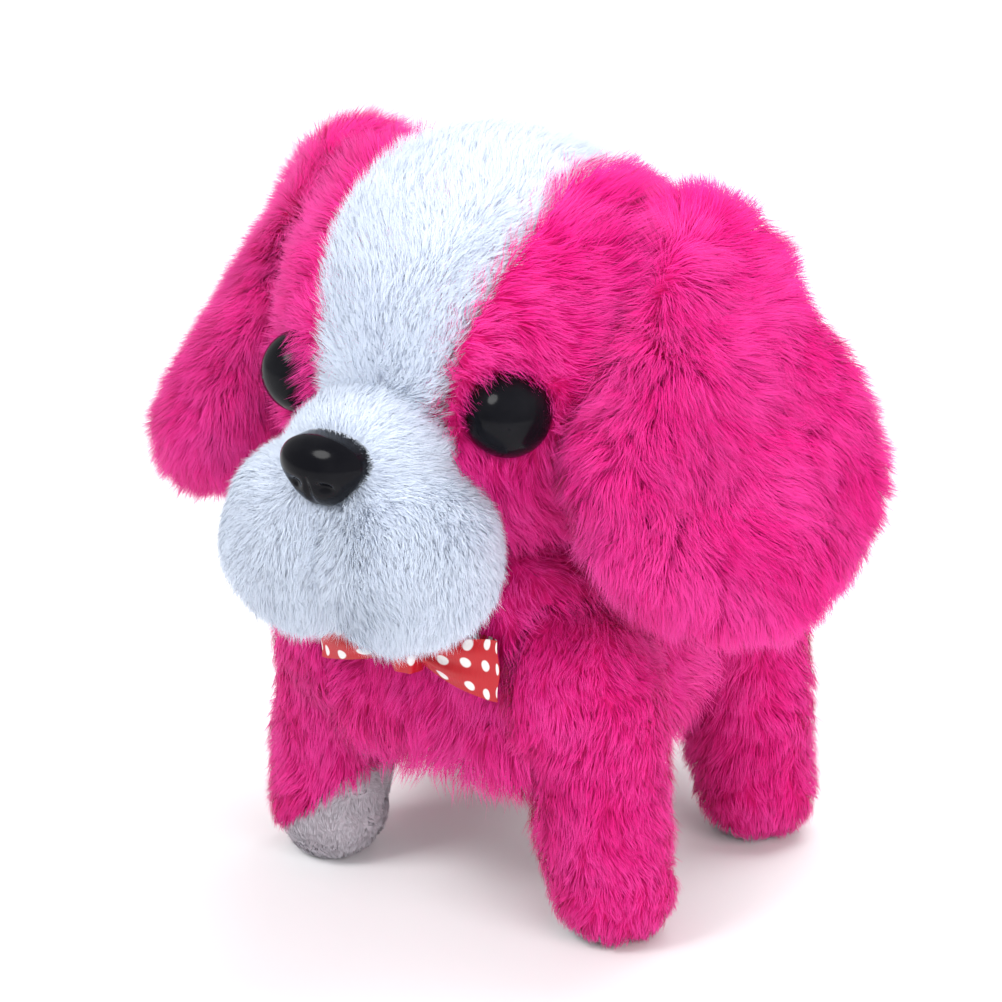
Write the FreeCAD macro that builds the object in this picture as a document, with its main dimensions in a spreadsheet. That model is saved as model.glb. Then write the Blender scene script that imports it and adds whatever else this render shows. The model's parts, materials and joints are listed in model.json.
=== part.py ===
"""Battery-driven walking plush puppy: coat, housing, drive, legs, head, ears and tail.

The dog faces -Y, its left side is +X and it stands on the plane Z = 0.  Lengths are in
millimetres and angles in degrees.
"""

import FreeCAD
import Part
import Sketcher
import math
import os
import re

DIMENSIONS = {
    # trunk coat, a rounded loaf around the housing
    "coat_half": 31,
    "coat_front": 42,
    "coat_rear": 49,
    "coat_low": 28,
    "coat_top": 82,
    "coat_round": 16,
    # plastic housing
    "case_half": 19.6,
    "case_front": 37,
    "case_rear": 41,
    "case_low": 30,
    "case_top": 77,
    "case_wall": 1.6,
    "case_round": 6,
    "case_edge": 4,
    "fit_gap": 0.1,
    "door_gap_side": 0.3,
    "grille_height": 62,
    "grille_pitch": 4.5,
    "grille_radius": 1.1,
    "lever_room": 0.8,
    # hips, legs and paws
    "hip_front": 27.5,
    "hip_rear": 27.5,
    "hip_height": 52,
    "axle_radius": 1.5,
    "run_gap": 0.06,
    "core_inner": 22,
    "core_thick": 2.2,
    "axle_head": 2.6,
    "axle_head_thick": 1,
    "hub_radius": 5.5,
    "lever_width": 2.6,
    "shin_half": 4.5,
    "shin_low": 24,
    "knee_top": 32,
    "post_inner": 7.5,
    "post_outer": 2,
    "foot_low": 5,
    "foot_top": 11,
    "foot_reach": 5,
    "shoulder_centre": 20,
    "shoulder_radius": 18,
    "bay_inner": 21.3,
    "bay_gap": 0.8,
    "paw_side": 33.5,
    "paw_radius": 11,
    "paw_rise": 10,
    "column_top_side": 27,
    "column_top_radius": 13,
    "column_low_radius": 10.4,
    "panel_side": 39,
    "panel_height": 7,
    "panel_slope": 43,
    "sole_height": 1.5,
    "sole_slope": 16,
    # side links and crank
    "lever_rise": 14,
    "link_inner": 20,
    "link_thick": 1.6,
    "pin_radius": 1.3,
    "link_bar": 2,
    "link_plate": 4,
    "link_plate_rise": 7,
    "link_eye": 3.2,
    "slot_rise": 5.2,
    "slot_gap": 0.4,
    "crank_place": 2,
    "crank_throw": 3.4,
    "crank_pin": 1.1,
    "crank_disc": 5,
    "disc_inner": 15.3,
    "shaft_reach": 17.6,
    "cam_half": 1.5,
    "cam_radius": 4.2,
    "cam_offset": 1.4,
    # gears, module 0.5, spaced a little wide for free running
    "gear_module": 0.5,
    "wheel_teeth": 28,
    "pinion_teeth": 10,
    "mesh_run": 8.2,
    "mesh_rise": 4.8,
    "gear_face": 1.8,
    "plane_one": 11.3,
    "plane_two": 13.3,
    "plane_three": 15.3,
    "frame_plate": 9.5,
    "frame_thick": 1.5,
    "frame_right": 15.1,
    "frame_low": 48.9,
    "frame_rise": 8.6,
    "frame_front": 9,
    "frame_rear": 33,
    "frame_bend": 5,
    "web_thick": 1.6,
    # motor
    "motor_length": 25,
    "motor_radius": 10,
    "motor_flat": 15,
    "shaft_radius": 1,
    "motor_boss": 3,
    "shaft_depth": 3.8,
    # circuit board and speaker
    "board_half": 14,
    "board_place": 24.6,
    "board_thick": 1.6,
    "board_low": 55,
    "board_top": 74,
    "speaker_radius": 11,
    # battery bay
    "cell_radius": 7.25,
    "cell_side": 7.45,
    "cell_height": 39.8,
    "cell_length": 49,
    "nub_radius": 2.75,
    "nub_length": 1.5,
    "tray_half": 15.8,
    "tray_front": 25.6,
    "tray_rear": 29.4,
    "tray_low": 31.7,
    "tray_top": 48.6,
    "tray_wall": 1,
    "contact_half": 4,
    "contact_rise": 5,
    "contact_thick": 0.4,
    "door_half": 15.2,
    "door_front": 30.4,
    "door_rear": 28.4,
    "screw_place": 28.1,
    "screw_radius": 1.25,
    "switch_place": 32.4,
    "switch_stop": 4.2,
    "switch_foot": 7,
    "switch_half": 1.5,
    "switch_travel": 3.2,
    # head
    "head_place": 16,
    "head_height": 110,
    "head_radius": 40,
    "skull_height": 106,
    "skull_radius": 20,
    "neck_place": 10,
    "neck_height": 88,
    "neck_room": 13,
    "cheek_inner": 3.4,
    "cheek_outer": 5.4,
    "cheek_half": 4,
    "lug_inner": 6.4,
    "lug_outer": 9.4,
    "neck_pin_half": 10.4,
    "skull_wall": 1.6,
    "light_place": 11,
    "light_radius": 3,
    "nod_limit": 10,
    "lever_half": 1.6,
    "jowl_side": 10.5,
    "jowl_place": 61,
    "jowl_height": 84.5,
    "jowl_radius": 15.8,
    "bridge_place": 57,
    "bridge_height": 97,
    "bridge_radius": 15.5,
    "blaze_depth": 4,
    "eye_radius": 8,
    "eye_side": 23.7,
    "eye_place": 48,
    "eye_height": 109,
    "nose_height": 102.5,
    "nose_front": 77.5,
    "nose_half": 9,
    "nose_rise": 6,
    "nose_drop": 8,
    "nose_depth": 9,
    "nose_round": 2.5,
    # nod rod and tail
    "rod_height": 71.5,
    "rod_inner": 1.9,
    "rod_thick": 1.4,
    "rod_bar": 1.2,
    "rod_pin": 1,
    "rod_eye_low": 3,
    "rod_eye_top": 2.1,
    "rod_eye_front": 2.6,
    "rod_eye_rear": 2,
    "tail_place": 36,
    "tail_height": 63.25,
    "tail_root_place": 57.5,
    "tail_root_height": 67.5,
    "tail_tip_place": 69.5,
    "tail_tip_height": 98,
    "tail_root_radius": 7,
    "tail_tip_radius": 7,
    "stem_radius": 1.6,
    "tail_stem": 26,
    # ears
    "seam_side": 28,
    "seam_place": 3,
    "seam_height_left": 136,
    "seam_height_right": 138,
    "ear_turn": 30,
    "ear_swing_left": 3,
    "ear_swing_right": 0,
    "ear_flare_left": 28,
    "ear_flare_right": 30,
    "ear_top_radius": 13,
    "ear_low_left": 28,
    "ear_low_right": 26,
    "ear_drop_left": 36,
    "ear_drop_right": 36,
    "ear_thick": 16,
    "ear_edge": 7.6,
    # bow
    "bow_half": 21,
    "bow_height": 58.5,
    "bow_tip": 6.5,
    "bow_waist": 2.6,
    "bow_depth": 6,
    "bow_place": 44,
    "ribbon": 0.6,
    "knot_half": 3.6,
    "knot_rise": 4.6,
}

doc = FreeCAD.newDocument("RobotDogToy")
sheet = doc.addObject("Spreadsheet::Sheet", "Sizes")
for row, (alias, value) in enumerate(DIMENSIONS.items(), start=1):
    sheet.set(f"A{row}", alias)
    sheet.set(f"B{row}", str(value))
    sheet.setAlias(f"B{row}", alias)
doc.recompute()

NODES = []
Vector = FreeCAD.Vector
ALONG = {
    "x": FreeCAD.Rotation(Vector(0, 1, 0), 90),
    "y": FreeCAD.Rotation(Vector(1, 0, 0), -90),
    "z": FreeCAD.Rotation(),
}


# ---------------------------------------------------------------- building blocks


def formula(text):
    """The text as an expression, with the sheet's name in front of each alias."""
    return re.sub(
        r"[a-z_]+", lambda word: "Sizes." + word[0] if word[0] in DIMENSIONS else word[0], str(text)
    )


def size(alias):
    return float(getattr(sheet, alias))


def bind(obj, **sizes):
    for name, text in sizes.items():
        obj.setExpression(name, formula(text))
    return obj


def place(obj, at, turn=None):
    if turn is not None:
        obj.Placement = FreeCAD.Placement(Vector(), turn)
    for letter, text in zip("xyz", at):
        obj.setExpression(f"Placement.Base.{letter}", formula(text))
    return obj


def node(obj, label):
    """Makes obj the sub-part that its label names."""
    obj.Label = label
    NODES.append(obj)
    return obj


def block(name, x, y, z):
    """A box between the two formulas given for each axis."""
    made = doc.addObject("Part::Box", name)
    sides = zip(("Length", "Width", "Height"), (x, y, z))
    bind(made, **{side: f"({b}) - ({a})" for side, (a, b) in sides})
    return place(made, (x[0], y[0], z[0]))


def rod(name, axis, at, radius, length):
    """A round bar that starts at a point and runs along an axis."""
    made = bind(doc.addObject("Part::Cylinder", name), Radius=radius, Height=length)
    return place(made, at, ALONG[axis])


def ball(name, at, radius):
    return place(bind(doc.addObject("Part::Sphere", name), Radius=radius), at)


def fuse(name, *parts):
    made = doc.addObject("Part::MultiFuse", name)
    made.Shapes = list(parts)
    made.Refine = True
    return made


def common(name, *parts):
    made = doc.addObject("Part::MultiCommon", name)
    made.Shapes = list(parts)
    return made


def cut(name, base, *tools):
    made = doc.addObject("Part::Cut", name)
    made.Base = base
    made.Tool = tools[0] if len(tools) == 1 else fuse(name + "_tools", *tools)
    made.Refine = True
    return made


def copy_of(name, source):
    """A live copy, so that one shape can be used in two places."""
    made = doc.addObject("Part::Compound", name)
    made.Links = [source]
    return made


def new_body(name):
    return doc.addObject("PartDesign::Body", name)


def new_sketch(body, name, plane, offset="0"):
    sketch = body.newObject("Sketcher::SketchObject", name)
    planes = {feature.Role: feature for feature in body.Origin.OriginFeatures}
    sketch.AttachmentSupport = (planes[plane], [""])
    sketch.MapMode = "FlatFace"
    sketch.setExpression("AttachmentOffset.Base.z", formula(offset))
    return sketch


def fix_point(sketch, geometry, vertex, x, y):
    """Holds a point at formulas measured from the sketch's origin."""
    for kind, text in (("DistanceX", x), ("DistanceY", y)):
        index = sketch.addConstraint(Sketcher.Constraint(kind, -1, 1, geometry, vertex, 1.0))
        sketch.setExpression(f"Constraints[{index}]", formula(text))


def outline(sketch, points):
    """A closed run of straight edges through the given points."""
    count = len(points)
    start = [
        Vector(10 * math.cos(2 * math.pi * i / count), 10 * math.sin(2 * math.pi * i / count), 0)
        for i in range(count)
    ]
    lines = [
        sketch.addGeometry(Part.LineSegment(start[i], start[(i + 1) % count])) for i in range(count)
    ]
    for i, line in enumerate(lines):
        after = lines[(i + 1) % count]
        sketch.addConstraint(Sketcher.Constraint("Coincident", line, 2, after, 1))
    for line, (x, y) in zip(lines, points):
        fix_point(sketch, line, 1, x, y)


def ring(sketch, x, y, radius):
    circle = sketch.addGeometry(Part.Circle(Vector(1, 1, 0), Vector(0, 0, 1), 1))
    fix_point(sketch, circle, 3, x, y)
    index = sketch.addConstraint(Sketcher.Constraint("Radius", circle, 1.0))
    sketch.setExpression(f"Constraints[{index}]", formula(radius))


def pad(body, name, sketch, length):
    made = body.newObject("PartDesign::Pad", name)
    made.Profile = sketch
    return bind(made, Length=length)


def soften(body, name, base, edges, radius):
    """Rounds the edges of a feature that a test picks out."""
    doc.recompute()
    picked = [f"Edge{i}" for i, edge in enumerate(base.Shape.Edges, start=1) if edges(edge)]
    made = body.newObject("PartDesign::Fillet", name)
    made.Base = (base, picked)
    return bind(made, Radius=radius)


def runs_along(axis):
    """A test for straight edges parallel to an axis."""

    def test(edge):
        if not isinstance(edge.Curve, Part.Line):
            return False
        return abs(getattr(edge.Curve.Direction, axis)) > 0.99

    return test


def rounded_block(name, x, y, z, radius, axes="xyz"):
    """A box whose edges along the given axes are rounded."""
    body = new_body(name)
    box = body.newObject("PartDesign::AdditiveBox", name + "_box")
    sides = zip(("Length", "Width", "Height"), (x, y, z))
    bind(box, **{side: f"({b}) - ({a})" for side, (a, b) in sides})
    tests = [runs_along(axis) for axis in axes]
    soften(body, name + "_round", box, lambda edge: any(test(edge) for test in tests), radius)
    return place(body, (x[0], y[0], z[0]))


def sided(side, near, far):
    """The x limits of a stretch on the left (+1) or right (-1)."""
    return (near, far) if side > 0 else (f"-({far})", f"-({near})")


def outward(side, name, near, far, y, z, radius):
    """A bar along X between two distances from the middle plane, on one side."""
    start = near if side > 0 else f"-({far})"
    return rod(name, "x", (start, y, z), radius, f"({far}) - ({near})")


SIDES = (("left", 1), ("right", -1))
HIPS = (("front", "-hip_front"), ("rear", "hip_rear"))
LEGS = [(f"{end}_{word}", side, hip) for end, hip in HIPS for word, side in SIDES]
TWISTED_LEG = "front_right"


# ---------------------------------------------------------------- housing


def housing(name, inset):
    """The housing's outer form, shrunk by inset: three rounded prisms in common."""
    x = (f"-(case_half - {inset})", f"case_half - {inset}")
    y = (f"-(case_front - {inset})", f"case_rear - {inset}")
    z = (f"case_low + {inset}", f"case_top - {inset}")
    prisms = [
        rounded_block(name + "_side", x, y, z, f"case_round - {inset}", "x"),
        rounded_block(name + "_front", x, y, z, f"case_edge - {inset}", "y"),
        rounded_block(name + "_plan", x, y, z, f"case_round - {inset}", "z"),
    ]
    return common(name, *prisms)


def housing_openings():
    """What is taken out of the housing's walls."""
    tools = [
        block("door_gap", ("-door_half - door_gap_side", "door_half + door_gap_side"),
              ("-door_front - door_gap_side", "door_rear + door_gap_side"),
              ("case_low - 1", "case_low + case_wall + 0.05")),
        block("switch_gap", ("-switch_stop - 0.4", "switch_stop + 0.4"),
              ("switch_place - switch_half - 0.2", "switch_place + switch_half + 0.2"),
              ("case_low - 1", "case_low + 3")),
        block("neck_gap", ("-lever_half - lever_room", "lever_half + lever_room"),
              ("-neck_place - 9", "-neck_place + 4"), ("case_top - 3", "case_top + 1")),
        block("tail_gap", ("-lever_half - lever_room", "lever_half + lever_room"),
              ("case_rear - 3", "case_rear + 1"), ("tail_height - 5", "tail_height + 12")),
        rod("crank_gap", "x", ("-case_half - 1", "-crank_place", "hip_height + lever_rise"),
            "crank_throw + crank_pin + 1.5", "2 * case_half + 2"),
    ]
    for end, hip in HIPS:
        tools.append(rod(f"hip_hole_{end}", "x", ("-case_half - 1", hip, "hip_height"),
                         "axle_radius", "2 * case_half + 2"))
    for row in (-1, 0, 1):
        for column in (-1, 0, 1):
            tools.append(rod(f"grille_{row + 1}_{column + 1}", "y",
                             (f"{column} * grille_pitch", "-case_front - 1",
                              f"grille_height + {row} * grille_pitch"), "grille_radius", "4"))
    return tools


def make_housing():
    """Left and right halves of the plastic housing, each with a socket for the tail's axle."""
    hollow = cut("case_hollow", housing("case_outer", "0"), housing("case_inner", "case_wall"))
    walls = cut("case_walls", hollow, *housing_openings())
    for word, side in SIDES:
        half = block(f"case_half_{word}", sided(side, "0", "case_half + 5"),
                     ("-case_front - 5", "case_rear + 5"), ("case_low - 5", "case_top + 5"))
        rib = block(f"tail_rib_{word}", sided(side, "4", "5.6"),
                    ("tail_place - 3", "case_rear - case_wall / 2"),
                    ("tail_height - 3", "tail_height + 3"))
        socket = outward(side, f"tail_socket_{word}", "3", "7", "tail_place", "tail_height",
                         "axle_radius + run_gap")
        shell = common(f"case_piece_{word}", copy_of(f"case_copy_{word}", walls), half)
        node(cut(f"case_{word}", fuse(f"case_ribbed_{word}", shell, rib), socket), f"case_shell_{word}")


# ---------------------------------------------------------------- battery bay


def make_tray():
    """The open-bottomed tray for two cells, with the boss that takes the door's screw."""
    box = block("tray_box", ("-tray_half", "tray_half"), ("-tray_front", "tray_rear"),
                ("tray_low", "tray_top"))
    boss = rod("tray_boss", "z", ("0", "-screw_place", "tray_low"), "2.8", "5.5")
    room = block("tray_room", ("-tray_half + tray_wall", "tray_half - tray_wall"),
                 ("-tray_front + tray_wall", "tray_rear - tray_wall"),
                 ("tray_low - 1", "tray_top - tray_wall"))
    bore = rod("tray_bore", "z", ("0", "-screw_place", "tray_low - 1"), "1.5", "6")
    node(cut("tray", fuse("tray_solid", box, boss), room, bore), "battery_tray")


def make_cell(word, side):
    """One AA cell: the left one's button faces forward, the right one's backward."""
    flat_end = "-tray_front + tray_wall + 1.9" if side > 0 else "-tray_front + tray_wall + 2.1"
    button_at = f"{flat_end} - nub_length" if side > 0 else f"{flat_end} + cell_length"
    x = f"{side} * cell_side"
    can = rod(f"can_{word}", "y", (x, flat_end, "cell_height"), "cell_radius", "cell_length")
    button = rod(f"button_{word}", "y", (x, button_at, "cell_height"), "nub_radius", "nub_length")
    node(fuse(f"cell_{word}", can, button), f"battery_{word}")


def contact(name, x, front):
    """A sheet-metal contact plate against one end wall of the tray."""
    y = ("-tray_front + tray_wall", "-tray_front + tray_wall + contact_thick")
    if not front:
        y = ("tray_rear - tray_wall - contact_thick", "tray_rear - tray_wall")
    return block(name, x, y, ("cell_height - contact_rise", "cell_height + contact_rise"))


def spring(name, x, y, turn):
    """A conical contact spring, drawn as its envelope."""
    cone = bind(doc.addObject("Part::Cone", name), Radius1="3.6", Radius2="2.6", Height="1.3")
    return place(cone, (x, y, "cell_height"), ALONG["y"].multiply(turn))


def make_contacts():
    """Plus plate, minus plate with its spring, and the bridge across the far end."""
    near, far = "cell_side - contact_half", "cell_side + contact_half"
    node(contact("plate_plus", (near, far), True), "contact_plus")
    minus = contact("plate_minus", (f"-({far})", f"-({near})"), True)
    coil = spring("coil_minus", "-cell_side", "-tray_front + tray_wall + contact_thick",
                  FreeCAD.Rotation())
    node(fuse("contact_minus_solid", minus, coil), "contact_minus")
    bridge = contact("plate_bridge", (f"-({far})", far), False)
    flip = FreeCAD.Rotation(Vector(1, 0, 0), 180)
    coil = spring("coil_bridge", "cell_side", "tray_rear - tray_wall - contact_thick", flip)
    node(fuse("contact_bridge_solid", bridge, coil), "contact_bridge")


def make_door():
    """The belly door, a plate with two grip ridges and a hole for its captive screw."""
    body = new_body("door")
    plate = new_sketch(body, "door_plate", "XY_Plane", "case_low")
    outline(plate, [("-door_half", "-door_front"), ("door_half", "-door_front"),
                    ("door_half", "door_rear"), ("-door_half", "door_rear")])
    pad(body, "door_pad", plate, "case_wall")
    for index in (0, 1):
        ridge = new_sketch(body, f"door_ridge_{index}", "XY_Plane", "case_low - 0.5")
        low = f"door_rear - 6 + 3 * {index}"
        outline(ridge, [("-6", low), ("6", low), ("6", f"{low} + 1"), ("-6", f"{low} + 1")])
        pad(body, f"door_ridge_pad_{index}", ridge, "0.6")
    hole = new_sketch(body, "door_hole", "XY_Plane", "case_low - 1")
    ring(hole, "0", "-screw_place", "1.4")
    pocket = body.newObject("PartDesign::Pocket", "door_pocket")
    pocket.Profile = hole
    pocket.Type = "ThroughAll"
    pocket.Reversed = True
    node(body, "battery_door")
    shank = rod("screw_shank", "z", ("0", "-screw_place", "case_low"), "screw_radius", "5")
    head = rod("screw_head", "z", ("0", "-screw_place", "case_low - 1.2"), "2.3", "1.2")
    slot = block("screw_slot", ("-2.5", "2.5"), ("-screw_place - 0.3", "-screw_place + 0.3"),
                 ("case_low - 1.3", "case_low - 0.7"))
    node(cut("door_screw_solid", fuse("screw_blank", shank, head), slot), "door_screw")


def make_switch():
    """The slide switch's knob, drawn at its off end."""
    across = ("switch_place - switch_half", "switch_place + switch_half")
    stem = block("switch_stem", ("-switch_stop", "switch_stop - switch_travel"), across,
                 ("case_low - 1.4", "case_low + 2"))
    foot = block("switch_plate", ("-switch_foot", "switch_foot - switch_travel"),
                 ("switch_place - 2.8", "switch_place + 2.8"), ("case_low + 1.7", "case_low + 3"))
    node(fuse("switch_solid", stem, foot), "power_switch")


# ---------------------------------------------------------------- drive


def centre_of(wheel):
    """Height and place formulas of a shaft in the zigzag gear train."""
    low = "hip_height + lever_rise - mesh_rise"
    high = "hip_height + lever_rise"
    return f"-crank_place + {wheel} * mesh_run", low if wheel % 2 else high


def toothed(body, name, teeth, offset, aim):
    """A toothed disc on the body, with a tooth that points at the angle aim."""
    root = f"gear_module * ({teeth} / 2 - 1.2)"
    tip = f"gear_module * ({teeth} / 2 + 0.8)"
    disc = new_sketch(body, name + "_disc", "YZ_Plane", offset)
    ring(disc, "0", "0", root)
    pad(body, name + "_disc_pad", disc, "gear_face")
    tooth = new_sketch(body, name + "_tooth", "YZ_Plane", offset)
    tooth.AttachmentOffset = FreeCAD.Placement(Vector(), FreeCAD.Rotation(Vector(0, 0, 1), aim))
    foot = f"{root} - 0.4"
    outline(tooth, [(foot, "-0.34"), (tip, "-0.14"), (tip, "0.14"), (foot, "0.34")])
    tooth_pad = pad(body, name + "_tooth_pad", tooth, "gear_face")
    pattern = body.newObject("PartDesign::PolarPattern", name + "_teeth")
    pattern.Originals = [tooth_pad]
    pattern.Axis = (disc, ["N_Axis"])
    pattern.Angle = 360
    bind(pattern, Occurrences=teeth)
    body.Tip = pattern
    doc.recompute()


def bore(body, name, radius):
    """A hole right through the body along its own axis."""
    hole = new_sketch(body, name, "YZ_Plane")
    ring(hole, "0", "0", radius)
    pocket = body.newObject("PartDesign::Pocket", name + "_cut")
    pocket.Profile = hole
    pocket.Type = "ThroughAll"
    pocket.Midplane = True
    body.Tip = pocket


MESH_ANGLE = math.degrees(math.atan2(size("mesh_rise"), size("mesh_run")))
HALF_PITCH = 180 / size("wheel_teeth")


def make_compound_gear(label, wheel, wheel_plane, pinion_plane, wheel_aim, pinion_aim):
    """A big wheel and a small pinion moulded in one, on a fixed pin."""
    body = new_body(label + "_body")
    toothed(body, label + "_wheel", "wheel_teeth", wheel_plane, wheel_aim + HALF_PITCH)
    toothed(body, label + "_pinion", "pinion_teeth", pinion_plane, pinion_aim)
    hub = new_sketch(body, label + "_hub", "YZ_Plane", pinion_plane)
    ring(hub, "0", "0", "1.8")
    pad(body, label + "_hub_pad", hub, f"{wheel_plane} - {pinion_plane} + gear_face")
    bore(body, label + "_bore", "shaft_radius + run_gap")
    y, z = centre_of(wheel)
    node(place(body, ("0", y, z)), label)


def make_crank_gear():
    """The last wheel of the train, pressed on the crank shaft."""
    body = new_body("crank_gear_body")
    toothed(body, "crank_wheel", "wheel_teeth", "plane_one", -MESH_ANGLE + HALF_PITCH)
    bore(body, "crank_wheel_bore", "axle_radius")
    y, z = centre_of(0)
    node(place(body, ("0", y, z)), "crank_gear")


def make_motor():
    """A small flat-sided motor, and its shaft with the first pinion as a separate piece."""
    y, z = centre_of(3)
    start = "frame_plate - motor_length"
    can = rod("motor_can", "x", (start, y, z), "motor_radius", "motor_length")
    flats = block("motor_flats", (start, "frame_plate"), (f"{y} - motor_radius", f"{y} + motor_radius"),
                  (f"{z} - motor_flat / 2", f"{z} + motor_flat / 2"))
    nose = rod("motor_nose", "x", ("frame_plate - 1", y, z), "motor_boss", "2.3")
    tail = rod("motor_tail", "x", (f"{start} - 1.2", y, z), "motor_boss", "2")
    hole = rod("motor_bore", "x", ("frame_plate - 4", y, z), "shaft_radius + run_gap", "8")
    body = fuse("motor_solid", common("motor_body", can, flats), nose, tail)
    node(cut("motor_bored", body, hole), "motor")
    pinion = new_body("motor_pinion_body")
    toothed(pinion, "motor_teeth", "pinion_teeth", "plane_three", 180 - MESH_ANGLE)
    place(pinion, ("0", y, z))
    shaft = rod("motor_shaft", "x", ("frame_plate - shaft_depth", y, z), "shaft_radius",
                "plane_three + gear_face + 0.3 - frame_plate + shaft_depth")
    node(fuse("motor_pinion_solid", pinion, shaft), "motor_pinion")


def make_gear_frame():
    """The U-shaped plate frame that carries the motor, the gear pins and the crank shaft."""
    crank_y, crank_z = centre_of(0)
    motor_y, motor_z = centre_of(3)
    upright = ("frame_low", "hip_height + lever_rise + frame_rise")
    left = block("frame_left", ("frame_plate", "frame_plate + frame_thick"),
                 ("-frame_front", "frame_rear"), upright)
    right = block("frame_other", ("-frame_right", "-frame_right + frame_thick"),
                  ("-frame_front", "frame_bend"), upright)
    web = block("frame_web", ("-frame_right", "frame_plate + frame_thick"),
                ("-frame_front", "frame_bend"), ("frame_low", "frame_low + web_thick"))
    tools = [
        rod("frame_crank_hole", "x", ("-20", crank_y, crank_z), "axle_radius + run_gap", "40"),
        rod("frame_axle_hole", "x", ("0", "hip_rear", "hip_height"), "axle_radius + 0.5", "20"),
        rod("frame_motor_hole", "x", ("0", motor_y, motor_z), "motor_boss", "20"),
    ]
    pins = []
    for wheel in (1, 2):
        y, z = centre_of(wheel)
        pins.append(rod(f"gear_pin_{wheel}", "x", ("frame_plate", y, z), "shaft_radius",
                        "case_half - case_wall - frame_plate - 0.1"))
    plates = cut("frame_plates", fuse("frame_blank", left, right, web), *tools)
    node(fuse("gear_frame_solid", plates, *pins), "gear_frame")


def make_crank():
    """Crank shaft, its two discs with pins half a turn apart, and the bark cam."""
    y, z = centre_of(0)
    shaft = rod("crank_bar", "x", ("-shaft_reach", y, z), "axle_radius", "2 * shaft_reach")
    node(shaft, "crank_shaft")
    for word, side in SIDES:
        pin_z = f"{z} + {side} * crank_throw"
        disc = outward(side, f"disc_{word}", "disc_inner", "shaft_reach", y, z, "crank_disc")
        pin = outward(side, f"disc_pin_{word}", "16", "link_inner - slot_gap", y, pin_z, "crank_pin")
        hole = outward(side, f"disc_hole_{word}", "15", "18", y, z, "axle_radius")
        node(cut(f"crank_{word}", fuse(f"disc_blank_{word}", disc, pin), hole), f"crank_disc_{word}")
    cam = rod("cam_disc", "x", ("-cam_half", f"{y} + cam_offset", z), "cam_radius", "2 * cam_half")
    hole = rod("cam_hole", "x", ("-cam_half - 1", y, z), "axle_radius", "2 * cam_half + 2")
    node(cut("cam", cam, hole), "bark_cam")


def make_electronics():
    """Circuit board behind the speaker, with its chip, capacitor and transistor."""
    face = "-board_place + board_thick"
    board = block("board", ("-board_half", "board_half"), ("-board_place", face),
                  ("board_low", "board_top"))
    chip = block("chip", ("-5", "5"), (face, f"{face} + 2"), ("board_low + 5", "board_low + 13"))
    capacitor = rod("capacitor", "y", ("board_half - 4.5", face, "board_low + 5"), "2.5", "4.4")
    transistor = block("transistor", ("-board_half + 2", "-board_half + 6"), (face, f"{face} + 3"),
                       ("board_top - 8", "board_top - 3"))
    node(fuse("circuit_board_solid", board, chip, capacitor, transistor), "circuit_board")
    front = "-case_front + case_wall + fit_gap"
    middle = ("0", front, "grille_height")
    flange = rod("speaker_flange", "y", middle, "speaker_radius", "1.2")
    basket = rod("speaker_basket", "y", middle, "speaker_radius - 2", "3")
    magnet = rod("speaker_magnet", "y", middle, "speaker_radius / 2", "4.6")
    node(fuse("speaker_solid", flange, basket, magnet), "speaker")


# ---------------------------------------------------------------- legs


def make_axles():
    """The two fixed hip axles, each with a head outside the leg on either end."""
    for end, hip in HIPS:
        reach = "core_inner + core_thick + 0.2"
        shaft = rod(f"axle_shaft_{end}", "x", (f"-({reach})", hip, "hip_height"), "axle_radius",
                    f"2 * ({reach})")
        heads = [outward(side, f"axle_head_{end}_{word}", reach, f"{reach} + axle_head_thick", hip,
                         "hip_height", "axle_head") for word, side in SIDES]
        node(fuse(f"axle_{end}", shaft, *heads), f"hip_axle_{end}")


def leg_core(name, side, hip):
    """The moulded leg: hub, lever with the link pin above it, and shin with foot below."""
    x = sided(side, "core_inner", "core_inner + core_thick")
    y = (f"{hip} - shin_half", f"{hip} + shin_half")
    outer = "core_inner + core_thick"
    top = "hip_height + lever_rise"
    shin = block(f"shin_{name}", x, y, ("shin_low", "hip_height"))
    knee = block(f"knee_{name}", sided(side, "core_inner", "paw_side - post_outer"), y,
                 ("shin_low", "knee_top"))
    post = block(f"post_{name}", sided(side, "paw_side - post_inner", "paw_side - post_outer"), y,
                 ("foot_low", "knee_top"))
    hub = outward(side, f"hub_{name}", "core_inner", outer, hip, "hip_height", "hub_radius")
    lever = block(f"lever_{name}", x, (f"{hip} - lever_width", f"{hip} + lever_width"),
                  ("hip_height", top))
    eye = outward(side, f"eye_{name}", "core_inner", outer, hip, top, "lever_width")
    pin = outward(side, f"pin_{name}", "case_half + 0.3", "core_inner + 0.5", hip, top, "pin_radius")
    foot = block(f"foot_{name}", sided(side, "paw_side - post_inner", "paw_side + foot_reach"), y,
                 ("foot_low", "foot_top"))
    hole = outward(side, f"hip_bore_{name}", "core_inner - 1", f"{outer} + 1", hip, "hip_height",
                   "axle_radius + run_gap")
    blank = fuse(f"core_blank_{name}", shin, knee, post, hub, lever, eye, pin, foot)
    return cut(f"core_{name}", blank, hole)


def column(name, side, hip):
    """The tapered column from the shoulder down to the paw."""
    lean = math.degrees(math.atan2(size("paw_side") - size("column_top_side"),
                                   size("hip_height") - size("paw_rise")))
    made = bind(doc.addObject("Part::Cone", f"column_{name}"), Radius1="column_low_radius",
                Radius2="column_top_radius", Height="hip_height - paw_rise")
    turn = FreeCAD.Rotation(Vector(0, 1, 0), -side * lean)
    return place(made, (f"{side} * paw_side", hip, "paw_rise"), turn)


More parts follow.
